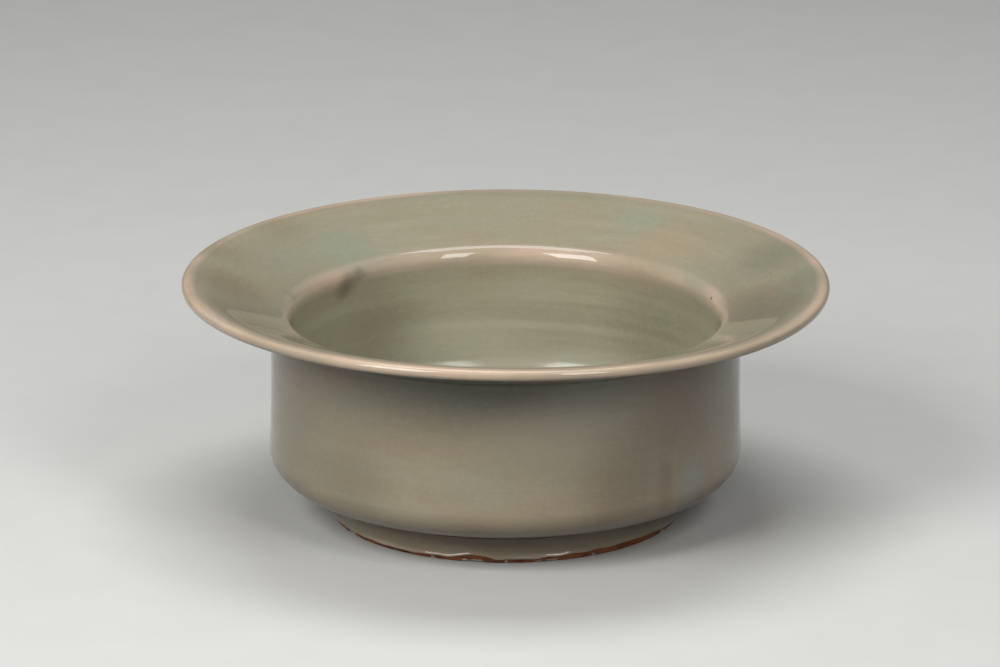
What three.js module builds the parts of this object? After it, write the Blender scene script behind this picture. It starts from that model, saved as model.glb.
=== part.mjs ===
// Stoneware basin with a celadon glaze: a straight-walled bowl thrown on the wheel,
// with a broad rim turned outwards and a foot ring cut from the same clay.
// The fired clay is one solid, and each coat of glaze is a shell of its own on it.
// Millimetres, +Z up, origin at the centre of the circle that the foot stands on.

import * as THREE from 'three';

// Finished sizes, measured over the glaze
const height = 89.5;
const wallTopRadius = 87.2;
const wallFootRadius = 88.1;
const wallThickness = 7.5;
const wallWaist = 0.4;
const mouthThickness = 7.4;
const rimOverhang = 32.8;

// Slopes of the thrown clay, in degrees above level
const rimTopSlope = 22;
const rimUnderSlope = 19.5;
const undersideSlope = 12.6;
const floorSlope = 7;

// Roundings of the clay
const lipRound = 1.5;
const shoulderRound = 25;
const mouthRound = 5.3;
const throatRound = 3.5;
const cornerRound = 11.1;
const coveRound = 11;
const footFillet = 2.5;
const recessFillet = 3;
const footBevel = 0.3;

// Foot ring, recess and floor of the clay
const footInset = 22.3;
const footHeight = 11.9;
const footWidth = 8.5;
const footBatter = 2;
const recessDepth = 8.6;
const floorThickness = 7.9;

// Thickness of the glaze where it lies evenly, pulls thin and pools
const glazeCoat = 0.8;
const glazeLip = 0.35;
const glazeMouth = 0.45;
const glazePool = 1.3;
const glazeBead = 0.5;
const glazeEnd = 0.3;
const glazeRecess = 0.7;
const glazeLine = 1.8;
const beadHeight = 1.4;

// Clearance between the clay and its glaze, and where the two coats meet on the lip
const coatGap = 0.1;
const seamGap = 0.2;

// Facets round the axis
const segments = 48;

const radians = THREE.MathUtils.degToRad;
const at = (radius, z) => new THREE.Vector2(radius, z);

// Points of an arc about a centre, between two angles in degrees
function arc(centre, radius, from, to, steps) {
  const start = centre.clone().add(at(radius, 0)).rotateAround(centre, radians(from));
  const turn = radians(to - from);
  return Array.from({ length: steps + 1 }, (_, i) => start.clone().rotateAround(centre, (turn * i) / steps));
}

// Points of the arc that rounds the corner between two straight stretches
function roundCorner(before, corner, after, radius, steps) {
  const arriving = corner.clone().sub(before).normalize();
  const leaving = after.clone().sub(corner).normalize();
  const turn = Math.atan2(arriving.cross(leaving), arriving.dot(leaving));
  const start = corner.clone().addScaledVector(arriving, -radius * Math.tan(Math.abs(turn) / 2));
  const side = at(-arriving.y, arriving.x).multiplyScalar(Math.sign(turn) * radius);
  const centre = start.clone().add(side);
  return Array.from({ length: steps + 1 }, (_, i) => start.clone().rotateAround(centre, (turn * i) / steps));
}

// A stretch of the clay's outline, with the glaze on it going from one thickness to another
function stretch(points, glazeFrom, glazeTo = glazeFrom) {
  const last = Math.max(points.length - 1, 1);
  return points.map((point, i) => ({ point, glaze: THREE.MathUtils.lerp(glazeFrom, glazeTo, i / last) }));
}

// The lip, a round edge below its crest, and the shoulder that leads from the crest down into the rim.
// The crest is level, so each arc stops half the seam's width short of it.
const lipSkin = coatGap + glazeLip;
const lipCentre = at(wallTopRadius + rimOverhang - lipSkin - lipRound, height - lipSkin - lipRound);
const shoulderCentre = at(lipCentre.x, height - lipSkin - shoulderRound);
const besideSeam = (radius) => THREE.MathUtils.radToDeg(seamGap / 2 / radius);
const lip = arc(lipCentre, lipRound, rimUnderSlope - 90, 90 - besideSeam(lipRound), 5);
const shoulder = arc(shoulderCentre, shoulderRound, 90 + besideSeam(shoulderRound), 90 + rimTopSlope, 4);

// Where the straight faces of the clay would meet if no corner were rounded
const wallSkin = coatGap + glazeCoat;
const mouthSkin = coatGap + glazeMouth;
const slopeLine = (from, radius, slope) => at(radius, from.y + (radius - from.x) * Math.tan(radians(slope)));
const footRadius = wallFootRadius - wallSkin - footInset;
const footTop = at(footRadius, footHeight);
const corner = slopeLine(footTop, wallFootRadius - wallSkin, undersideSlope);
const throat = slopeLine(lip[0], wallTopRadius - wallSkin, rimUnderSlope);
const waist = corner.clone().lerp(throat, 0.5).sub(at(wallWaist, 0));
const mouth = slopeLine(shoulder.at(-1), wallTopRadius - mouthThickness + mouthSkin, rimTopSlope);
const floorCentre = at(0, recessDepth + floorThickness);
const wellCorner = slopeLine(floorCentre, wallFootRadius - wallThickness + wallSkin, floorSlope);
const recessCentre = at(0, recessDepth);
const recessCorner = at(footRadius - footWidth - footBatter, recessDepth);
const footInner = at(footRadius - footWidth, 0);
const footOuter = at(footRadius, 0);

// The clay's outline, from the axis under the base round the lip to the axis on the floor
const recess = [
  ...stretch([recessCentre], glazeRecess),
  ...stretch(roundCorner(recessCentre, recessCorner, footInner, recessFillet, 3), glazeRecess, glazeEnd),
];
const footRing = [
  ...stretch(roundCorner(recessCorner, footInner, footOuter, footBevel, 1), 0),
  ...stretch(roundCorner(footInner, footOuter, footTop, footBevel, 1), 0),
];
const outside = [
  ...stretch([at(footRadius, glazeLine)], glazeEnd),
  ...stretch([at(footRadius, glazeLine + beadHeight)], glazeBead),
  ...stretch(roundCorner(footOuter, footTop, corner, footFillet, 3), glazeBead, glazeCoat),
  ...stretch(roundCorner(footTop, corner, waist, cornerRound, 7), glazeCoat),
  ...stretch([waist], glazeCoat),
  ...stretch(roundCorner(waist, throat, lip[0], throatRound, 3), glazePool, glazeCoat),
  ...stretch(lip, glazeLip),
];
const inside = [
  ...stretch(shoulder, glazeLip, glazeCoat),
  ...stretch(roundCorner(shoulder.at(-1), mouth, wellCorner, mouthRound, 4), glazeMouth),
  ...stretch(roundCorner(mouth, wellCorner, floorCentre, coveRound, 9), glazeCoat, glazePool),
  ...stretch([floorCentre], glazeCoat),
];
const clay = [...recess, ...footRing, ...outside, ...inside];

// Outward direction at each point, long enough to move both faces there by one unit
clay.forEach((station, i) => {
  const onAxis = i === 0 || i === clay.length - 1;
  const before = clay[Math.max(i - 1, 0)].point;
  const after = clay[Math.min(i + 1, clay.length - 1)].point;
  const arriving = station.point.clone().sub(before).normalize();
  const leaving = after.clone().sub(station.point).normalize();
  const along = arriving.clone().add(leaving).normalize();
  const lengthen = 1 / along.dot(arriving);
  station.outward = onAxis ? at(0, Math.sign(i - 1)) : at(along.y, -along.x).multiplyScalar(lengthen);
});

const moved = (station, distance) => station.point.clone().addScaledVector(station.outward, distance);
const backOf = (stations) => stations.map((station) => moved(station, coatGap));
const faceOf = (stations) => stations.map((station) => moved(station, coatGap + station.glaze));

// A solid turned from its outline about the vertical axis
function turned(name, outline, finish) {
  const geometry = new THREE.LatheGeometry(outline, segments);
  geometry.rotateX(Math.PI / 2);
  const mesh = new THREE.Mesh(geometry, new THREE.MeshStandardMaterial(finish));
  mesh.name = name;
  return mesh;
}

// A shell of glaze that stands clear of the axis closes on its own first point
const outsideFace = faceOf(outside);
const outsideShell = [...outsideFace, ...backOf(outside).reverse(), outsideFace[0].clone()];
const insideShell = [...backOf(inside).reverse(), ...faceOf(inside)];
const recessShell = [...faceOf(recess), ...backOf(recess).reverse()];

const burntClay = { color: 0x94684a, roughness: 0.85, metalness: 0 };
const celadon = { color: 0x9a9580, roughness: 0.18, metalness: 0 };

const basin = new THREE.Group();
basin.add(turned('stoneware_body', clay.map((station) => station.point), burntClay));
basin.add(turned('glaze_inside', insideShell, celadon));
basin.add(turned('glaze_outside', outsideShell, celadon));
basin.add(turned('glaze_recess', recessShell, celadon));

export default basin;
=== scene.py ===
# %% [markdown]
# # A celadon basin with a broad rim
#
# The real thing is one lump of stoneware clay, thrown on a wheel, with a foot ring cut out of it
# and a grey-green celadon glaze over nearly all of it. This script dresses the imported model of
# that basin: it swaps its faceted solids for smooth turned surfaces with the small faults of a
# hand-made pot, and gives them glaze and burnt clay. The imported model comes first, because it
# settles where everything is.

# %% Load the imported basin
import math

import bpy
import numpy as np
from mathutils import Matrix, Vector


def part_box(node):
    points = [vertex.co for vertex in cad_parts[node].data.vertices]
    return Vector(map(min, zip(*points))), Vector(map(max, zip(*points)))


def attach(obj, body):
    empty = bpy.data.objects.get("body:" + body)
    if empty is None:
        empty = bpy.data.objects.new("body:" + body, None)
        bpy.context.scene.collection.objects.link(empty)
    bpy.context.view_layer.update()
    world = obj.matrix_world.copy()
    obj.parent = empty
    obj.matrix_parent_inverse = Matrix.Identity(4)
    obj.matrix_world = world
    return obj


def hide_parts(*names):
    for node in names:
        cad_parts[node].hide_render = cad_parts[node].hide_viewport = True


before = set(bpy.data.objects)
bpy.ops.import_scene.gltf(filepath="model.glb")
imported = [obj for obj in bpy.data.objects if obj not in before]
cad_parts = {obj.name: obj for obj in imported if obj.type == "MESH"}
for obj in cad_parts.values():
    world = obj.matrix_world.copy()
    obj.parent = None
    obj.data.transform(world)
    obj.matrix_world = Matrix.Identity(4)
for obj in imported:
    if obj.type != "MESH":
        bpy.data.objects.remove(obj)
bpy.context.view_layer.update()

print("nodes:", sorted(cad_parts))

# %% [markdown]
# ## Sizes
#
# Everything here is in millimetres and turned to metres only when a mesh is made. The rim, the
# height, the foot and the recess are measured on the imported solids, so the looks follow the
# model. The rest are the small measures of the pot's section: how thick the glaze lies, and how
# each corner is rounded.

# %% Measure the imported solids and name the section's sizes
MM = 0.001
DECIMETRE = 100
SEED = 7


def reach(node, low, high):
    """The largest distance from the axis among a node's corners between two heights, in mm."""
    corners = np.array([v.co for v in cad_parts[node].data.vertices]) / MM
    level = corners[(corners[:, 2] >= low) & (corners[:, 2] <= high)]
    return float(np.hypot(level[:, 0], level[:, 1]).max())


rim_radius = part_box("glaze_outside")[1].x / MM
rim_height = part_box("glaze_outside")[1].z / MM
foot_radius = reach("stoneware_body", low=0.2, high=2.0)
recess_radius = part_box("glaze_recess")[1].x / MM
recess_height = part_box("glaze_recess")[1].z / MM
recess_glaze_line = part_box("glaze_recess")[0].z / MM

# Wall, well and mouth
wall_top_radius = 87.2
wall_foot_radius = 88.1
wall_waist = 0.35
mouth_radius = 79.6
well_foot_radius = 80.6
floor_centre = 17.4

# Roundings of the corners
lip_round = 1.95
shoulder_round = 25.0
mouth_round = 5.85
throat_round = 2.6
corner_round = 12.0
cove_round = 10.0

# Slopes, in degrees above level
rim_top_slope = 21.5
rim_under_slope = 19.5
underside_slope = 12.6
floor_slope = 7.0

# Foot, groove and recess
underside_height = 11.0
groove_height = 9.1
groove_depth = 0.6
foot_flat_inner = 55.8
foot_bevel = 0.25
recess_fillet = 3.0
recess_slope = 1.0

# Where the glaze ends on the foot, how thick it is made, and its clearance from the clay
glaze_line = 1.2
skin = 0.35
recess_skin = 0.6
seat_gap = 0.05
print(f"rim {rim_radius:.1f}, height {rim_height:.1f}, foot {foot_radius:.2f}, "
      f"recess {recess_radius:.1f} by {recess_height:.2f}")

# %% [markdown]
# ## The section as a template
#
# A thrown pot is its section, turned about the axis. A potter's template is straight stretches
# joined by arcs, so the section here is a list of corners, each with the radius that rounds it.
# The same list gives the face of the glaze, its back and the clay under it, because the whole
# line can be moved sideways into the clay by an amount: stretches move along their normals, and
# arcs grow or shrink.

# %% Draw a line through rounded corners
ARC_STEP = 1.5


def rounded(before, corner, after, radius):
    """The arc of that radius touching both lines that meet at the corner: points centre +
    radius * (cos a, sin a) as a goes evenly through the corner's turn, about ARC_STEP degrees
    apart."""
    arriving = (corner - before) / np.linalg.norm(corner - before)
    leaving = (after - corner) / np.linalg.norm(after - corner)
    turn = math.atan2(arriving[0] * leaving[1] - arriving[1] * leaving[0],
                      float(arriving @ leaving))
    start = corner - arriving * radius * math.tan(abs(turn) / 2)
    centre = start + math.copysign(radius, turn) * np.array([-arriving[1], arriving[0]])
    first = math.atan2(*(start - centre)[::-1])
    a = first + turn * np.linspace(0, 1, 2 + int(abs(math.degrees(turn)) / ARC_STEP))
    return centre + radius * np.stack([np.cos(a), np.sin(a)], axis=1)


def template(corners, inset=0.0):
    """The line through corners (r, z, rounding), moved by inset to its left, which is into the
    clay. With unit normals n and m on either side of a corner it moves by inset * (n + m) /
    (1 + n . m), and its arc loses inset where the line turns left and gains it where the line
    turns right."""
    points = np.array([c[:2] for c in corners], float)
    along = np.diff(points, axis=0)
    along /= np.linalg.norm(along, axis=1)[:, None]
    left = np.stack([-along[:, 1], along[:, 0]], axis=1)
    mitre = (left[:-1] + left[1:]) / (1 + np.sum(left[:-1] * left[1:], axis=1))[:, None]
    moved = points + inset * np.vstack([left[:1], mitre, left[-1:]])
    turns_left = np.sign(along[:-1, 0] * along[1:, 1] - along[:-1, 1] * along[1:, 0])
    radii = [c[2] - inset * side for c, side in zip(corners[1:-1], turns_left)]
    arcs = [rounded(*moved[i:i + 3], radius) for i, radius in enumerate(radii)]
    return np.vstack([moved[:1], *arcs, moved[-1:]])


def stations(line, spacing, sharpness):
    """Points along the line at equal steps of length / spacing + turn / sharpness, in mm and
    degrees, so that they crowd in curves."""
    step = np.diff(line, axis=0)
    turn = np.abs(np.diff(np.unwrap(np.arctan2(step[:, 1], step[:, 0]))))
    turn = np.degrees(np.concatenate([[0], turn, [0]]))
    need = np.hypot(*step.T) / spacing + (turn[:-1] + turn[1:]) / 2 / sharpness
    reached = np.concatenate([[0], np.cumsum(need)])
    picked = np.linspace(0, reached[-1], 1 + math.ceil(reached[-1]))
    return np.stack([np.interp(picked, reached, line[:, k]) for k in (0, 1)], axis=1)


quarter = rounded(*np.array([(0, 0), (20, 0), (20, 20)]), radius=10)
print("a quarter circle of 10 mm:", len(stations(quarter, 2.5, 10)), "points")

# %% [markdown]
# ## The corners of the basin
#
# The line runs from the end of the glaze on the foot, up the foot, over a thin groove where the
# potter trimmed the foot away from the body, out along the underside, up the wall, out under the
# rim, round the lip, in over the rim to the mouth, down the wall of the well, and along its floor
# to the axis. Only the rim's two slopes and the lip's radius are given; where the lines meet
# follows from them.


# %% Work out the corners of the glazed face
def on_slope(start, radius, slope):
    """The point at that radius on the line through start that rises outwards by slope degrees."""
    return radius, start[1] + (radius - start[0]) * math.tan(math.radians(slope))


foot_face = foot_radius + seat_gap + skin
neck = foot_face - groove_depth
lip_centre = rim_radius - lip_round
lip_reach = lip_round * math.tan(math.radians(90 - rim_under_slope / 2))
lip_corner = (lip_centre + lip_reach, rim_height)
shoulder_reach = shoulder_round * math.tan(math.radians(rim_top_slope / 2))
shoulder_corner = (lip_centre - shoulder_reach, rim_height)
mouth_corner = on_slope(shoulder_corner, mouth_radius, rim_top_slope)
throat_corner = on_slope(lip_corner, wall_top_radius, rim_under_slope)
body_corner = on_slope((neck, underside_height), wall_foot_radius, underside_slope)
well_corner = on_slope((0, floor_centre), well_foot_radius, floor_slope)
back_corner = on_slope((neck, underside_height), foot_face, underside_slope)

# The groove's height across its mouth, and the roundings of its edges and of the foot's top
groove_rise = 0.4
groove_edge_round = 0.4
groove_inner_round = 0.45
foot_top_round = 0.9
back_corner_round = 0.5

above_foot = [
    (*body_corner, corner_round),
    (*throat_corner, throat_round),
    (*lip_corner, lip_round),
    (*shoulder_corner, shoulder_round),
    (*mouth_corner, mouth_round),
    (*well_corner, cove_round),
    (0, floor_centre, 0),
]
face_corners = [
    (foot_face, glaze_line + skin / 2, 0),
    (foot_face, groove_height, groove_edge_round),
    (neck, groove_height + groove_rise, groove_inner_round),
    (neck, underside_height, foot_top_round),
    *above_foot,
]
back_corners = [
    (foot_face, glaze_line + skin / 2, 0),
    (*back_corner, back_corner_round),
    *above_foot,
]
print("throat", np.round(throat_corner, 2), "mouth", np.round(mouth_corner, 2),
      "body", np.round(body_corner, 2))

# %% [markdown]
# ## Where the glaze lies thick
#
# A melted glaze runs off sharp edges and gathers in hollows, so the lip, the mouth and the foot's
# edge show pale clay through it while the hollows are deep green. That is the section's own
# curvature, so the depth of the glaze is worked out from it: the turn for each millimetre,
# smoothed, and taken from an even coat.


# %% Work out the depth of the glaze from the curvature
def travelled(line):
    """The distance along a line to each of its points: the running sum of its steps' lengths."""
    return np.concatenate([[0], np.cumsum(np.hypot(*np.diff(line, axis=0).T))])


def glaze_depth(line, points, softness=1.7, run=0.0):
    """0 where the coat is thinnest, 0.5 where it is even and 1 where it is deepest, at the
    points, which lie on the line: 0.5 - 0.5 * c / full_turn, where c is the left turn in radians
    for each millimetre, blurred by softness and read run millimetres back along the line,
    because the melt creeps downhill over an edge before it thins."""
    full_turn = 0.18
    bin_width = 0.1
    along = travelled(line)
    step = np.diff(line, axis=0)
    turn = np.diff(np.unwrap(np.arctan2(step[:, 1], step[:, 0])))
    bins = np.arange(0, along[-1] + bin_width, bin_width)
    density = np.histogram(along[1:-1], bins, weights=turn)[0] / bin_width
    off = np.arange(-4 * softness, 4 * softness + bin_width / 2, bin_width)
    blur = np.exp(-0.5 * (off / softness) ** 2)
    curvature = np.convolve(density, blur / blur.sum(), mode="same")
    at = travelled(points)
    at *= along[-1] / at[-1]
    here = np.interp(at - run, bins[:-1] + bin_width / 2, curvature)
    return np.clip(0.5 - 0.5 * here / full_turn, 0, 1)


# The first step up the foot is cut into twelve, for the roll that ends the glaze there
face_line = template(face_corners)
face = stations(face_line, spacing=2.8, sharpness=9.6)
roll_rows = 12
face = np.vstack([np.linspace(face[0], face[1], roll_rows, endpoint=False), face[1:]])

# Over the mouth the glaze thins in a narrower line, a little below the edge itself
halfway_up_rim = 100
past_lip = np.arange(len(face)) > face[:, 0].argmax()
over_mouth = past_lip & (face[:, 0] < halfway_up_rim)
mouth_depth = glaze_depth(face_line, face, softness=1.5, run=0.9)
face_depth = np.where(over_mouth, mouth_depth, glaze_depth(face_line, face))
face[-1, 0] = 0
print(len(face), "points on the face, depth from", face_depth.min().round(2),
      "to", face_depth.max().round(2))

# %% [markdown]
# ## What the hand leaves
#
# No thrown pot is true. As it dries and is fired the rim tilts, lifts and sags, here from 0.8 mm
# up at the front left to 1.4 mm down at the front right, the wall swells and draws in by about
# 0.1 mm, and inside the well the fingers leave a faint spiral. All of it is one function of the
# place on the pot, so that the glaze and the clay under it move together and never cut each other.


# %% Move points off the true turned form
def ease(low, high, x):
    """0 below low, 1 above high, and 3 s^2 - 2 s^3 between them."""
    s = np.clip((x - low) / (high - low), 0, 1)
    return s * s * (3 - 2 * s)


def bell(t, bearing, width):
    """1 at that bearing and exp(-0.5 (d / width)^2) at d degrees from it, for the angle t."""
    off = (np.degrees(t) + (180 - bearing)) % 360 - 180
    return np.exp(-0.5 * (off / width) ** 2)


def waves(t, z, size, terms, seed):
    """A smooth random swell: a sum of cosines of (k t + z / length + phase), each size / k high,
    for k from 2. The lengths are 9 to 22 mm."""
    luck = np.random.default_rng(seed)
    total = np.zeros(np.broadcast(t, z).shape)
    for k in range(2, 2 + terms):
        length, phase = luck.uniform(9, 22), luck.uniform(0, 2 * math.pi)
        total = total + size / k * np.cos(k * t + z / length + phase)
    return total


def rim_lift(t):
    """How far the lip lies above the true form at angle t, which is 270 degrees at the front and
    0 at the right: a tilt and a double wave, a sag of 0.8 mm in a bell 16 degrees wide at the
    front right, and a rise of 0.5 mm in one 20 degrees wide at the front."""
    lift = -0.46 * np.cos(t) + 0.13 * np.sin(t)
    lift = lift + 0.27 * np.sin(2 * t) + 0.25 * np.sin(t) ** 2
    return lift - 0.8 * bell(t, -40, 16) + 0.5 * bell(t, -94, 20)


waist_start, waist_length = 18, 54
spiral_size, spiral_pitch = 0.08, 9
swell_size, swell_terms = 0.10, 6


def hand_made(r, t, z):
    """Gives r and z of a point after drying and firing. The rim's lift counts in full at the lip
    and fades as height squared times radius. The outer wall, told by a radius of about 84 to 90,
    draws in at its waist by a squared sine. The wall of the well, told by a smaller radius and a
    height of about 30 to 70, has a wavering spiral. All but the foot swells by random waves."""
    z_new = z + rim_lift(t) * (z / rim_height) ** 2 * r / rim_radius
    outside = ease(84, 85.5, r) * (1 - ease(88.5, 92, r))
    waist = np.sin(math.pi * np.clip((z - waist_start) / waist_length, 0, 1)) ** 2
    inside = (1 - ease(82.5, 84, r)) * ease(24, 40, z) * (1 - ease(64, 72, z))
    spiral = spiral_size * np.sin(2 * math.pi * z / spiral_pitch - t + 0.6 * np.sin(2 * t))
    swell = waves(t, z, swell_size, swell_terms, SEED) * ease(14, 22, z)
    off_axis = r > 0
    return r + (swell - outside * waist * wall_waist + inside * spiral) * off_axis, z_new


lifts = rim_lift(np.radians(np.arange(0, 360, 5)))
print("the rim lies from", lifts.min().round(2), "to", lifts.max().round(2),
      "mm off its true height")

# %% [markdown]
# ## Turning a section into a mesh
#
# Spin the section round the axis in equal steps and join neighbours with four-sided faces.
# Blender has a Screw modifier for this, but here every ring needs its own small faults, so the
# grid is worked out as arrays: one row for each station, one column for each step, and a single
# corner at each end of the line, on the axis.


# %% Make a closed turned mesh
def turned(name, section, sides, shape, **attributes):
    """Corner (i, j) lies at r_i from the axis, at angle 2 pi j / sides and height z_i, moved by
    shape(r, t, z). The section starts and ends on the axis, and anticlockwise sections give
    faces that point outwards. Each attribute is an array over the grid, stored on the corners.
    One more, wheel_place, is (cos t, sin t, s), where s is the distance along the section in
    decimetres, for patterns that run round the pot as a brush on the wheel does."""
    rows = len(section) - 2
    t = np.linspace(0, 2 * math.pi, sides, endpoint=False) + np.zeros((rows, 1))
    r, z = shape(section[1:-1, :1] + 0 * t, t, section[1:-1, 1:] + 0 * t)
    ring = np.stack([r * np.cos(t), r * np.sin(t), z], axis=2).reshape(-1, 3)
    ends = np.array([[0, 0, section[0, 1]], [0, 0, section[-1, 1]]])
    corner = np.arange(rows * sides).reshape(rows, sides)
    following = np.roll(corner, -1, axis=1)
    quads = np.stack([corner[:-1], following[:-1], following[1:], corner[1:]], axis=2)
    quads = quads.reshape(-1, 4)
    first, last = rows * sides, rows * sides + 1
    caps = [np.stack([np.full(sides, first), following[0], corner[0]], axis=1),
            np.stack([corner[-1], following[-1], np.full(sides, last)], axis=1)]
    mesh = bpy.data.meshes.new(name)
    mesh.from_pydata(np.vstack([ring, ends]) * MM, [],
                     quads.tolist() + np.vstack(caps).tolist())
    mesh.polygons.foreach_set("use_smooth", np.ones(len(mesh.polygons), bool))
    for attribute, grid in attributes.items():
        at_ends = [np.mean(grid[0]), np.mean(grid[-1])]
        values = np.concatenate([(grid[1:-1] + 0 * t).ravel(), at_ends])
        store = mesh.attributes.new(attribute, "FLOAT", "POINT").data
        store.foreach_set("value", values.astype(np.float32))
    along = travelled(section) / DECIMETRE
    wheel = np.stack([np.cos(t), np.sin(t), along[1:-1, None] + 0 * t], axis=2).reshape(-1, 3)
    wheel = np.vstack([wheel, [[1, 0, along[0]], [1, 0, along[-1]]]])
    store = mesh.attributes.new("wheel_place", "FLOAT_VECTOR", "POINT").data
    store.foreach_set("vector", wheel.astype(np.float32).ravel())
    mesh.update()
    made = bpy.data.objects.new(name, mesh)
    bpy.context.scene.collection.objects.link(made)
    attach(made, "root")
    print(name, len(mesh.vertices), "corners,", 2 * len(quads) + 2 * sides, "triangles")
    return made


coat_sides = 360
facet = 2 * math.pi * rim_radius / coat_sides
print("with", coat_sides, "sides, a facet at the rim is", round(facet, 2), "mm long")

# %% [markdown]
# ## The glaze coat
#
# The glaze is a skin under a millimetre thick over everything but the bottom of the foot. As a
# solid it is the face from the foot over the rim to the floor of the well, the same line again at
# the clay, and a small round bead where it stops. On the foot the dipped glaze ends in a
# wandering line: higher on the right of the front, with one bare spot where it crawled back, and
# a ripple all round.

# %% Shape the end of the glaze on the foot
roll_size, roll_height = 0.35, 0.5


def glaze_end(t):
    """How much higher than its lowest line the glaze ends at angle t, in mm: a stretch raised by
    0.9 to the right of the front, a bare spot of 1.1 to the left of it, and ripples."""
    from_front = np.degrees(t) - 270
    from_front = (from_front + 180) % 360 - 180
    raised = 0.9 * ease(4, 24, from_front) * (1 - ease(52, 70, from_front))
    bare_spot = 1.1 * np.exp(-((from_front + 10.5) / 5.5) ** 4)
    ripple = 0.10 * np.sin(31 * t + 2 * np.sin(5 * t))
    ripple = ripple + 0.07 * np.sin(53 * t + 3 * np.sin(4 * t + 1))
    return raised + bare_spot + ripple * (1 + 0.5 * np.sin(3 * t)) + 0.15 * np.sin(7 * t + 1)


def glazed(r, t, z):
    """The hand-made form, with the end of the glaze on the foot moved up by glaze_end, fading
    out by 7 mm, and swollen by roll_size into a roll, a bell centred roll_height above its end,
    on the outer face only."""
    swollen = np.exp(-((z - glaze_line - roll_height) / roll_height) ** 2)
    roll = roll_size * swollen * ease(foot_face - skin, foot_face, r)
    r, z = hand_made(r + roll, t, z)
    return r, z + glaze_end(t) * (1 - ease(2.2, 7, z))


bearings = np.radians([240, 259.5, 270, 300])
print("along the front the glaze ends higher by", np.round(glaze_end(bearings), 2), "mm")

# %% Make the glaze coat
back = stations(template(back_corners, skin), spacing=14, sharpness=30)
back[-1, 0] = 0
bead_angle = np.radians(np.linspace(180, 360, 9))[1:-1]
bead_centre = np.array([foot_face - skin / 2, glaze_line + skin / 2])
bead = bead_centre + skin / 2 * np.stack([np.cos(bead_angle), np.sin(bead_angle)], axis=1)
coat_section = np.vstack([back[::-1], bead, face])

# The clay side counts as even. The depth goes to a tenth at the glaze's end, fading out within
# end_fade above it, and on the crest, the top of the lip's last few millimetres.
EVEN = 0.5
thinning = 0.9
end_fade = 2.1
bead_depth = np.linspace(0.1, 0.15, len(bead))
coat_depth = np.concatenate([np.full(len(back), EVEN), bead_depth, face_depth])[:, None]
above_end = np.clip(coat_section[:, 1:] - glaze_line, 0, None)
near_end = np.exp(-(above_end / end_fade) ** 2)
crest = (ease(rim_radius - 5.5, rim_radius - 2.5, coat_section[:, :1])
         * ease(rim_height - 2.4, rim_height - 1.0, coat_section[:, 1:]))
coat_depth = coat_depth * (1 - thinning * near_end) * (1 - thinning * crest)

glaze_coat = turned("glaze_coat", coat_section, coat_sides, glazed, glaze_depth=coat_depth)
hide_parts("glaze_inside", "glaze_outside")
mouth_row = len(back) + len(bead) + np.hypot(*(face - mouth_corner).T).argmin()
mouth_along = travelled(coat_section)[mouth_row] / DECIMETRE
print("the mouth is", round(float(mouth_along), 3), "decimetres along the section")

# %% [markdown]
# ## The clay body
#
# Only the bottom of the foot shows bare clay, but the body is whole, because the basin is one
# piece of clay. Its bare edge was set down on the kiln shelf and on many tables since, so it is
# knocked: chips one to five millimetres wide on the outer edge, and one of ten where the glaze
# crawled back. The ones at the front follow the photograph, and the rest are random.

# %% Knock chips out of the foot's edge
luck = np.random.default_rng(SEED)
front_knocks = [(-24, 0.8), (-10.5, 4.4), (0, 0.8), (10.7, 1.1), (15.1, 2.1), (30, 0.8),
                (63.5, 1.3)]
other_knocks = np.stack([luck.uniform(75, 325, 15), luck.uniform(0.5, 2.2, 15)], axis=1)
knocks = np.vstack([front_knocks, other_knocks])
knock_depth = luck.uniform(0.22, 0.42, len(knocks))
edge_width = 0.6
edge_push = 0.8


def knocked(t):
    """How deep the foot's outer edge is chipped at angle t: the largest of a set of flat-bottomed
    notches, each given as its angle from the front and half its width in degrees, and broken up
    by two quick ripples, in mm."""
    off = (np.degrees(t)[..., None] - 270 - knocks[:, 0] + 180) % 360 - 180
    notch = (knock_depth * np.exp(-np.abs(off / knocks[:, 1]) ** 5)).max(axis=-1)
    return notch * (0.8 + 0.3 * np.sin(97 * t + 2 * np.sin(31 * t)))


def at_edge(r, z):
    """1 at the foot's outer edge and falling off as a bell edge_width wide round it."""
    off = (r - foot_radius + foot_bevel / 2) ** 2 + (z - foot_bevel / 2) ** 2
    return np.exp(-0.5 * off / edge_width ** 2)


def chipped(r, t, z):
    """The hand-made form with the foot's edge pushed in and up by edge_push of the knocks, and a
    fine unevenness of the bare foot, 0.05 mm high."""
    edge = knocked(t) * at_edge(r, z)
    rough = 0.05 * np.sin(67 * t + 3 * np.sin(9 * t)) * (1 - ease(2, 5, z)) * (r > foot_flat_inner)
    r, z = hand_made(r, t, z)
    return r - edge_push * edge + rough * ease(0.1, 0.8, z), z + edge_push * edge


print(len(knocks), "knocks, the deepest", round(float(knock_depth.max()), 2), "mm")

# %% Make the clay body
recess_wall = recess_radius + seat_gap
edge_round = 0.3
bare_top = glaze_line + 3
foot_line = template([
    (0, recess_height + seat_gap, 0),
    (recess_wall - recess_slope, recess_height + seat_gap, recess_fillet),
    (recess_wall, foot_bevel, edge_round),
    (foot_flat_inner, 0, edge_round),
    (foot_radius - foot_bevel, 0, edge_round),
    (foot_radius, foot_bevel, edge_round),
    (foot_radius, bare_top, 0),
])

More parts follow.
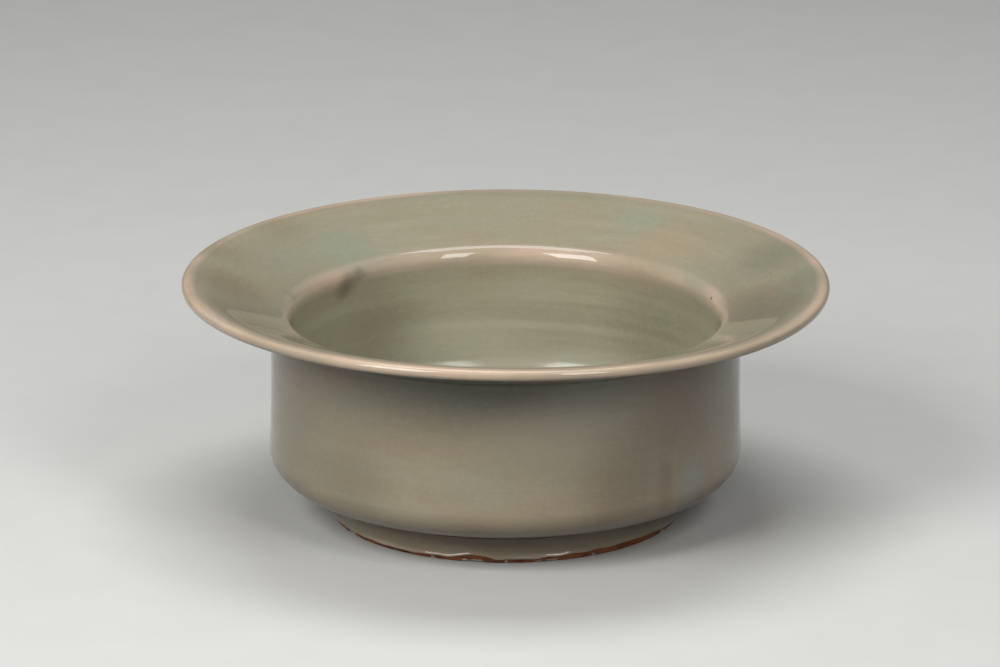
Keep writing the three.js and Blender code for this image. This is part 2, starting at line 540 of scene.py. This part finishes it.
# Rings lie close only in the band that the knocks reach, and every fourth one is kept before it
ring_inner = foot_flat_inner - 4
knock_band = foot_radius - 3
under = stations(foot_line[foot_line[:, 0] <= ring_inner], spacing=6, sharpness=12)
bare = stations(foot_line[foot_line[:, 0] > ring_inner], spacing=0.32, sharpness=12)
bare = bare[(bare[:, 0] > knock_band) | (np.arange(len(bare)) % 4 == 0)]
hidden = stations(template(back_corners, skin + seat_gap), spacing=14, sharpness=24)
hidden = hidden[hidden[:, 1] > bare_top + 0.2]
clay_section = np.vstack([under, bare, hidden])
clay_section[[0, -1], 0] = 0

# The chip attribute is 1 where a knock is at least full_chip deep, for the colour of fresh clay
clay_sides = 800
full_chip = 0.25
clay_angle = np.linspace(0, 2 * math.pi, clay_sides, endpoint=False)
chip = np.clip(knocked(clay_angle) / full_chip, 0, 1)
chip = chip * at_edge(clay_section[:, :1], clay_section[:, 1:])
clay_body = turned("clay_body", clay_section, clay_sides, chipped, chip=chip)
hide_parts("stoneware_body")

# %% [markdown]
# ## The glaze under the foot
#
# Inside the foot ring such basins are glazed too, thinly, with the ring's own inner face. It is a
# shallow cup upside down: its face looks down at the table, and its back lies against the clay.

# %% Make the recess glaze
recess_end = recess_glaze_line + 0.3
recess_ceiling = recess_height - recess_skin
recess_face = template([
    (0, recess_ceiling, 0),
    (recess_wall - recess_slope - recess_skin, recess_ceiling, recess_fillet - 0.4),
    (recess_radius - recess_skin, recess_end, 0),
])
recess_back = template([
    (0, recess_height, 0),
    (recess_radius - recess_slope, recess_height, recess_fillet),
    (recess_radius, recess_end, 0),
])
under_face = stations(recess_face, spacing=1.6, sharpness=10)
under_back = stations(recess_back, spacing=8, sharpness=20)[::-1]
recess_bead = [(recess_radius - recess_skin / 2, recess_glaze_line)]
recess_section = np.vstack([under_face, recess_bead, under_back])
recess_section[[0, -1], 0] = 0

recess_bead_depth = [0.2]
recess_depth = glaze_depth(recess_face[::-1], under_face[::-1])[::-1]
recess_depth = np.concatenate([recess_depth, recess_bead_depth, np.full(len(under_back), EVEN)])
recess_sides = 300
recess_glaze = turned("recess_glaze", recess_section, recess_sides, hand_made,
                      glaze_depth=recess_depth[:, None])
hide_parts("glaze_recess")

# %% [markdown]
# ## Celadon glaze
#
# Celadon is a clear grey-green glass, coloured by a trace of iron and full of fine bubbles, which
# make it look soft and a little milky under a smooth, shiny skin. Where it is thin the pale clay
# shows through as warm cream. Uneven kiln smoke leaves clouds of olive and beige in it, and cool
# blue-green ones where the flame was short of air. The material lays those over each other, each
# by the depth stored on the mesh, by the place, or by noise at the size of the real clouds. Some
# patches laid by place are painted light and shade rather than the glaze's own colour: the rim's
# shadow across the top of the outer wall, the wall darker at its left side and low down, a paler
# upper right of the wall, and a painted highlight along the roll where the glaze ends on the foot.


# %% Helpers for materials
def to_linear(code):
    """An sRGB colour such as '#A8A68C' as linear red, green, blue and alpha: c / 12.92 below
    0.04045, or else ((c + 0.055) / 1.055)^2.4."""
    c = np.array([int(code[k:k + 2], 16) for k in (1, 3, 5)]) / 255
    return (*np.where(c <= 0.04045, c / 12.92, ((c + 0.055) / 1.055) ** 2.4), 1)


def add(material, kind, sockets=None, **settings):
    """Adds a node, sets its settings, and fills its sockets with values or with links from other
    nodes' outputs."""
    node = material.node_tree.nodes.new(kind)
    for key, value in settings.items():
        setattr(node, key, value)
    for socket, value in (sockets or {}).items():
        if isinstance(value, bpy.types.NodeSocket):
            material.node_tree.links.new(value, node.inputs[socket])
        else:
            node.inputs[socket].default_value = value
    return node


def new_material(name):
    """An empty node material and its Principled shader, wired to the output."""
    material = bpy.data.materials.new(name)
    material.use_nodes = True
    material.node_tree.nodes.clear()
    shader = add(material, "ShaderNodeBsdfPrincipled")
    add(material, "ShaderNodeOutputMaterial", {"Surface": shader.outputs["BSDF"]})
    return material, shader


def layered(material, colour, layers):
    """The colour after each layer (value, low, high, most, tint) has moved it towards its tint.
    The share that a layer moves it by is most * (3 s^2 - 2 s^3), where s goes from 0 at low to 1
    at high of the value. The value is a node's output, and most may be one too."""
    for value, low, high, most, tint in layers:
        amount = add(material, "ShaderNodeMapRange",
                     {"Value": value, "From Min": low, "From Max": high, "To Max": most},
                     interpolation_type="SMOOTHSTEP").outputs["Result"]
        colour = add(material, "ShaderNodeMix", {0: amount, 6: colour, 7: to_linear(tint)},
                     data_type="RGBA").outputs[2]
    return colour


print("mid grey #808080 is", round(float(to_linear("#808080")[0]), 3), "in linear light")

# %% The celadon's colours by depth
# Glaze gives a smooth, hard shine over a soft, slightly cloudy grey-green that warms to cream
# wherever it is thin.
celadon, celadon_shader = new_material("celadon_glaze")
place = add(celadon, "ShaderNodeTexCoord").outputs["Object"]
depth = add(celadon, "ShaderNodeAttribute", attribute_name="glaze_depth").outputs["Fac"]
colour = layered(celadon, to_linear("#DEC5AB"), [
    (depth, 0.00, 0.12, 1.0, "#D0BAA7"),
    (depth, 0.08, 0.46, 1.0, "#A79F86"),
    (depth, 0.54, 0.95, 0.75, "#8F8B6C"),
])
print("celadon: cream when thin, grey-green when even, olive when deep")

# %% Clouds and streaks in the celadon
# Each pattern lies along the wheel's turn. Its scale is for wheel_place: the first two numbers
# are 88 mm, the wall's radius, over its length round the wall, and the third is a decimetre over
# its width across the section. Streaks are 55 by 14 mm, fine ones 40 by 4, cool clouds 56 by 21
# after their own scale of 1.2, bands 176 by 7 and threads 6 by 1.
wheel = add(celadon, "ShaderNodeAttribute", attribute_name="wheel_place").outputs["Vector"]
noise = {}
for name, scale, start, finer, detail, roughness in [
    ("streaks", (1.6, 1.6, 7.0), (0, 0, 0), 1.0, 3.0, 0.5),
    ("fine", (2.2, 2.2, 26.0), (0, 0, 0), 1.0, 4.0, 0.6),
    ("cool", (1.3, 1.3, 4.0), (3.1, 1.7, 0.4), 1.2, 2.5, 0.5),
    ("bands", (0.5, 0.5, 15.0), (0, 0, 0), 1.0, 1.0, 0.5),
    ("threads", (14.0, 14.0, 90.0), (0, 0, 0), 1.0, 2.0, 0.5),
]:
    drawn = add(celadon, "ShaderNodeMapping", {"Vector": wheel, "Scale": scale, "Location": start})
    noise[name] = add(celadon, "ShaderNodeTexNoise",
                      {"Vector": drawn.outputs["Vector"], "Scale": finer, "Detail": detail,
                       "Roughness": roughness}).outputs["Fac"]

# Smoke clouds are 50 mm wide. Three layers go by how far along the section a place lies: greener
# in the well, browner on the outside of the wall, and paler low in the well.
clouds = add(celadon, "ShaderNodeTexNoise",
             {"Vector": place, "Scale": 1 / (50 * MM), "Detail": 3.0, "Roughness": 0.5})
along = add(celadon, "ShaderNodeSeparateXYZ", {"Vector": wheel}).outputs["Z"]
well_start, well_full = mouth_along + 0.06, mouth_along + 0.16
in_well = add(celadon, "ShaderNodeMapRange",
              {"Value": along, "From Min": well_start, "From Max": well_full, "To Max": 0.32},
              interpolation_type="SMOOTHSTEP").outputs["Result"]
colour = layered(celadon, colour, [
    (along, well_start, well_full, 0.8, "#B0B49A"),
    (along, mouth_along - 0.45, mouth_along - 0.75, 0.6, "#B9A586"),
    (along, mouth_along + 0.20, mouth_along + 0.42, 0.6, "#B5B9AA"),
    (clouds.outputs["Fac"], 0.45, 0.68, 0.4, "#AB9A80"),
    (noise["streaks"], 0.45, 0.62, 0.4, "#B3AB93"),
    (noise["cool"], 0.50, 0.66, 0.35, "#A0A58D"),
    (noise["fine"], 0.45, 0.75, 0.16, "#8F8468"),
    (noise["bands"], 0.42, 0.60, in_well, "#87806A"),
])
print("clouds and", len(noise), "patterns along the wheel's turn")

# %% Stain colours, painted light and painted shade in the celadon
# Each stain, and each patch of painted light or shade, is its middle and its reach in mm, its
# height as a share of its width, its tint and its strength. It is full within a tenth of its reach
# and gone at its reach.
stains_and_painted_light = [
    # The top of the rim
    ((-60, 68, 80), 24, 1, "#98A695", 0.4),
    ((-84, 44, 83), 20, 1, "#98A695", 0.3),
    ((50, 88, 86), 14, 1, "#98A695", 0.4),
    ((98, 36, 86), 24, 1, "#7C8470", 0.5),
    ((100, -14, 85), 24, 1, "#87907C", 0.45),
    ((-104, 4, 86), 22, 1, "#94836A", 0.5),
    ((-92, -52, 86), 22, 1, "#A18D75", 0.4),
    ((92, -22, 84), 26, 1, "#8F8870", 0.45),
    ((60, 67, 80), 28, 1, "#B3A086", 0.55),
    ((112, 4, 89), 18, 1, "#87907C", 0.4),
    ((92, 2, 82), 22, 1, "#8A7863", 0.45),
    ((-90, 72, 89), 18, 1, "#938A6C", 0.35),
    ((-108, 34, 89), 14, 1, "#938A6C", 0.3),
    # The outside of the wall: its own colour, and painted shade and light
    ((70, -60, 50), 34, 1, "#8E7B63", 0.55),
    ((58, -66, 31), 5.5, 3, "#7A5A42", 0.35),
    ((68, -56, 27), 12, 1.3, "#A3ACA4", 0.5),
    ((41, -78, 42), 34, 1, "#8F7860", 0.4),
    # Painted shade: the wall darker towards its left side
    ((-80, -40, 40), 30, 1, "#8F866A", 0.45),
    # Painted shadow: the rim's shadow, a dark green-grey band across the top of the wall
    ((-14, -87, 71), 60, 0.34, "#6F7A66", 0.55),
    # Painted light in the next two: the upper right of the wall made paler, as if lit more from
    # that side
    ((34, -81, 67), 34, 0.5, "#BFC6B4", 0.45),
    ((20, -85, 56), 44, 0.4, "#CDC4AC", 0.4),
    ((10, -87, 38), 24, 1, "#AE9A7E", 0.35),
    # Painted shade in the next two: the wall darker low down, at the right and at the left
    ((42, -75, 30), 22, 0.8, "#7C6A55", 0.35),
    ((-56, -68, 32), 26, 0.8, "#7C7860", 0.35),
    # The back of the well
    ((-18, 78, 43), 42, 0.4, "#C6C4AE", 0.45),
    ((55, 58, 50), 30, 1, "#7A745C", 0.45),
    # The wall's lower corner
    ((-12, -84, 19), 15, 1, "#A08468", 0.35),
    ((33, -78, 19), 12, 1, "#9C8168", 0.3),
    # The sides of the well
    ((70, 40, 56), 28, 1, "#857D66", 0.4),
    ((-46, 65, 52), 24, 1, "#7F7460", 0.3),
    # The lip at the left, and the end of the glaze on the foot
    ((-118, -58, 86), 24, 1, "#D9D2CC", 0.4),
    # The roll where the glaze ends on the foot: pale as thin glaze, with a painted highlight along
    # it
    ((17, -63.5, 2.4), 20, 0.07, "#E8DACB", 0.6),
    ((-44, -50, 1.9), 22, 0.06, "#E2CFC0", 0.45),
    # The smudge on the mouth
    ((-62, 50.4, 69), 6, 1, "#6B5B50", 0.5),
    ((-59.3, 53.4, 71.4), 6, 1, "#5F4F48", 0.5),
    ((-55.5, 57.3, 73.7), 5, 1, "#6B6053", 0.45),
    # A pinhole, a faint spot and a speck
    ((76.9, 22.6, 74.6), 1.1, 1, "#4A2A20", 0.9),
    ((-80, 18, 77), 5, 1, "#8A7262", 0.22),
    ((99, 22, 85), 0.9, 1, "#5A5A48", 0.7),
]
for (x, y, z), far, height, tint, strength in stains_and_painted_light:
    to_middle = Vector((-x, -y, -z / height)) * MM
    moved = add(celadon, "ShaderNodeMapping",
                {"Vector": place, "Scale": (1, 1, 1 / height), "Location": to_middle})
    off = add(celadon, "ShaderNodeVectorMath", {0: moved.outputs["Vector"]}, operation="LENGTH")
    colour = layered(celadon, colour, [
        (off.outputs["Value"], far * MM, 0.1 * far * MM, strength, tint),
    ])
print(len(stains_and_painted_light), "stains placed")

# %% Specks and mottle in the celadon
# Iron specks are half a millimetre wide, one in every sixth cell of 6 mm. The mottle of bubbles
# is drawn at 1.8 mm, coarser than real ones, so that it shows.
cells = add(celadon, "ShaderNodeTexVoronoi", {"Vector": place, "Scale": 1 / (6 * MM)})
chosen = add(celadon, "ShaderNodeSeparateColor", {"Color": cells.outputs["Color"]})
few = add(celadon, "ShaderNodeMapRange",
          {"Value": chosen.outputs["Red"], "From Min": 0.80, "From Max": 0.86, "To Max": 0.6},
          interpolation_type="SMOOTHSTEP").outputs["Result"]
mottle = add(celadon, "ShaderNodeTexNoise",
             {"Vector": place, "Scale": 1 / (1.8 * MM), "Detail": 3.0}).outputs["Fac"]
colour = layered(celadon, colour, [
    (cells.outputs["Distance"], 0.055, 0.02, few, "#6F6550"),
    (mottle, 0.45, 0.75, 0.14, "#C2BEA6"),
    (noise["threads"], 0.45, 0.75, 0.12, "#8D8871"),
])
print("specks in every sixth cell, and a fine mottle")

# %% Shine and skin of the celadon
# The shine varies by patches of 30 mm and is softer low in the well, and the skin has the faint
# unevenness of orange peel, 5 mm from one swell to the next.
smoky = add(celadon, "ShaderNodeTexNoise",
            {"Vector": place, "Scale": 1 / (30 * MM), "Detail": 2.0}).outputs["Fac"]
shine = add(celadon, "ShaderNodeMapRange", {"Value": smoky, "To Min": 0.015, "To Max": 0.05})
softer = add(celadon, "ShaderNodeMapRange",
             {"Value": along, "From Min": mouth_along + 0.20, "From Max": mouth_along + 0.40,
              "To Max": 0.17}, interpolation_type="SMOOTHSTEP")
roughness = add(celadon, "ShaderNodeMath",
                {0: shine.outputs["Result"], 1: softer.outputs["Result"]}, operation="ADD")
peel = add(celadon, "ShaderNodeTexNoise",
           {"Vector": place, "Scale": 1 / (5 * MM), "Detail": 2.0, "Roughness": 0.4})
peel_bump = add(celadon, "ShaderNodeBump",
                {"Height": peel.outputs["Fac"], "Strength": 0.012, "Distance": 0.4 * MM})
for socket, value in {"Base Color": colour, "Roughness": roughness.outputs["Value"],
                      "Normal": peel_bump.outputs["Normal"]}.items():
    celadon.node_tree.links.new(value, celadon_shader.inputs[socket])
celadon_shader.inputs["IOR"].default_value = 1.5
for piece in (glaze_coat, recess_glaze):
    piece.data.materials.append(celadon)
print("celadon on", glaze_coat.name, "and", recess_glaze.name)

# %% [markdown]
# ## Burnt stoneware
#
# Bare stoneware that meets the flame turns rusty brown: the iron in it burns red at the surface,
# darker in patches, and knocks show the paler, greyer clay inside. It is dry and matt, with a
# fine grit that catches the light.

# %% The burnt clay
# Unglazed clay looks dry and rough: no shine, rust red, dark in the pores and pale on the fresh
# edges of chips. Its patches are 8 mm wide, its grit 0.9 mm and the crumbs in a chip 1.4 mm.
burnt, burnt_shader = new_material("burnt_stoneware")
spot = add(burnt, "ShaderNodeTexCoord").outputs["Object"]
patches, grit, crumbs = (
    add(burnt, "ShaderNodeTexNoise",
        {"Vector": spot, "Scale": 1 / (size * MM), "Detail": detail}).outputs["Fac"]
    for size, detail in [(8, 3.0), (0.9, 2.0), (1.4, 2.0)])
knock = add(burnt, "ShaderNodeAttribute", attribute_name="chip").outputs["Fac"]
fresh = add(burnt, "ShaderNodeMath", {0: knock, 1: crumbs}, operation="SUBTRACT")
clay_colour = layered(burnt, to_linear("#9E5F3A"), [
    (patches, 0.36, 0.72, 1.0, "#5A2F1E"),
    (grit, 0.55, 0.75, 0.5, "#B07A52"),
    (fresh.outputs["Value"], -0.1, 0.15, 1.0, "#DDD2CA"),
])
grain = add(burnt, "ShaderNodeBump", {"Height": grit, "Strength": 0.6, "Distance": 0.3 * MM})
burnt.node_tree.links.new(clay_colour, burnt_shader.inputs["Base Color"])
burnt.node_tree.links.new(grain.outputs["Normal"], burnt_shader.inputs["Normal"])
burnt_shader.inputs["Roughness"].default_value = 0.85
clay_body.data.materials.append(burnt)
print("burnt clay on", clay_body.name)

# %% [markdown]
# ## Floor, light and camera
#
# The basin stands on a wide pale floor. Two soft boxes above and in front, one to each side, give
# the long soft highlights on the lip and the mouth. A broad strip hangs overhead, and a dim pale
# world fills the rest. The floor is pale to the eye and in reflections, but dark for the light it
# throws back, so that the underside of the rim stays as dark as over a dark table. The camera
# looks down by 17.5 degrees from two and a half metres, through a long lens, as a dealer's studio
# would.

# %% Floor
floor_half = 6.0
floor_drop = 0.2 * MM
floor_material, floor_shader = new_material("pale_floor")
paper = add(floor_material, "ShaderNodeTexCoord").outputs["Object"]
fibre = add(floor_material, "ShaderNodeTexNoise",
            {"Vector": paper, "Scale": 1 / (25 * MM), "Detail": 2.0}).outputs["Fac"]
pale = add(floor_material, "ShaderNodeMix",
           {0: fibre, 6: to_linear("#E4E4E1"), 7: to_linear("#EAEAE7")}, data_type="RGBA")
ray = add(floor_material, "ShaderNodeLightPath")
seen = add(floor_material, "ShaderNodeMath",
           {0: ray.outputs["Is Camera Ray"], 1: ray.outputs["Is Glossy Ray"]},
           operation="MAXIMUM")
seen = add(floor_material, "ShaderNodeMath",
           {0: seen.outputs["Value"], 1: ray.outputs["Is Transmission Ray"]},
           operation="MAXIMUM")
floor_colour = add(floor_material, "ShaderNodeMix",
                   {0: seen.outputs["Value"], 6: to_linear("#4C4C4A"), 7: pale.outputs[2]},
                   data_type="RGBA")
floor_material.node_tree.links.new(floor_colour.outputs[2], floor_shader.inputs["Base Color"])
floor_shader.inputs["Roughness"].default_value = 0.7
floor_mesh = bpy.data.meshes.new("floor")
floor_corners = [(x * floor_half, y * floor_half, -floor_drop)
                 for x, y in [(-1, -1), (1, -1), (1, 1), (-1, 1)]]
floor_mesh.from_pydata(floor_corners, [], [(0, 1, 2, 3)])
floor_mesh.materials.append(floor_material)
floor = bpy.data.objects.new("floor", floor_mesh)
bpy.context.scene.collection.objects.link(floor)
print("a pale floor", 2 * floor_half, "metres square")

# %% Light
middle = Vector((0, 0, 0.06))
lamp_distance = 1.5


def soft_box(name, azimuth, elevation, width, height, power):
    """An area light facing the basin's middle: its bearing is azimuth degrees from the front
    towards the right and elevation degrees up, past 90 for behind, its sides are in metres and
    its power in watts."""
    lamp = bpy.data.lights.new(name, "AREA")
    lamp.shape, lamp.size, lamp.size_y, lamp.energy = "RECTANGLE", width, height, power
    a, e = math.radians(azimuth), math.radians(elevation)
    bearing = Vector((math.sin(a) * math.cos(e), -math.cos(a) * math.cos(e), math.sin(e)))
    held = bpy.data.objects.new(name, lamp)
    held.location = middle + lamp_distance * bearing
    held.rotation_euler = (middle - held.location).to_track_quat("-Z", "Y").to_euler()
    bpy.context.scene.collection.objects.link(held)


soft_box("left_box", azimuth=-41, elevation=36, width=0.58, height=0.80, power=12.8)
soft_box("right_box", azimuth=30, elevation=36, width=0.36, height=0.80, power=6.5)
soft_box("top_strip", azimuth=0, elevation=99, width=1.1, height=0.66, power=10)
world = bpy.data.worlds.new("studio")
bpy.context.scene.world = world
world.use_nodes = True
world.node_tree.nodes["Background"].inputs["Color"].default_value = to_linear("#E6E6E6")
world.node_tree.nodes["Background"].inputs["Strength"].default_value = 0.06
bpy.context.scene.view_settings.view_transform = "Standard"
print("two soft boxes, an overhead strip and a dim pale world")

# %% Camera
# It stands 2.5 m from the point 45 mm up the axis, 17.5 degrees above it, and is aimed a few
# millimetres off the axis, so that the basin falls where the photograph has it.
camera_place = (0, -2.3843, 0.7968)
camera_aim = (-0.00208, 0.0065, 0.0657)
camera_data = bpy.data.cameras.new("camera")
camera_data.sensor_width = 36
camera_data.lens = 241.7
camera = bpy.data.objects.new("camera", camera_data)
camera.location = camera_place
camera.rotation_euler = (Vector(camera_aim) - camera.location).to_track_quat("-Z", "Y").to_euler()
bpy.context.scene.collection.objects.link(camera)
bpy.context.scene.camera = camera
print("camera at", np.round(camera.location, 3))
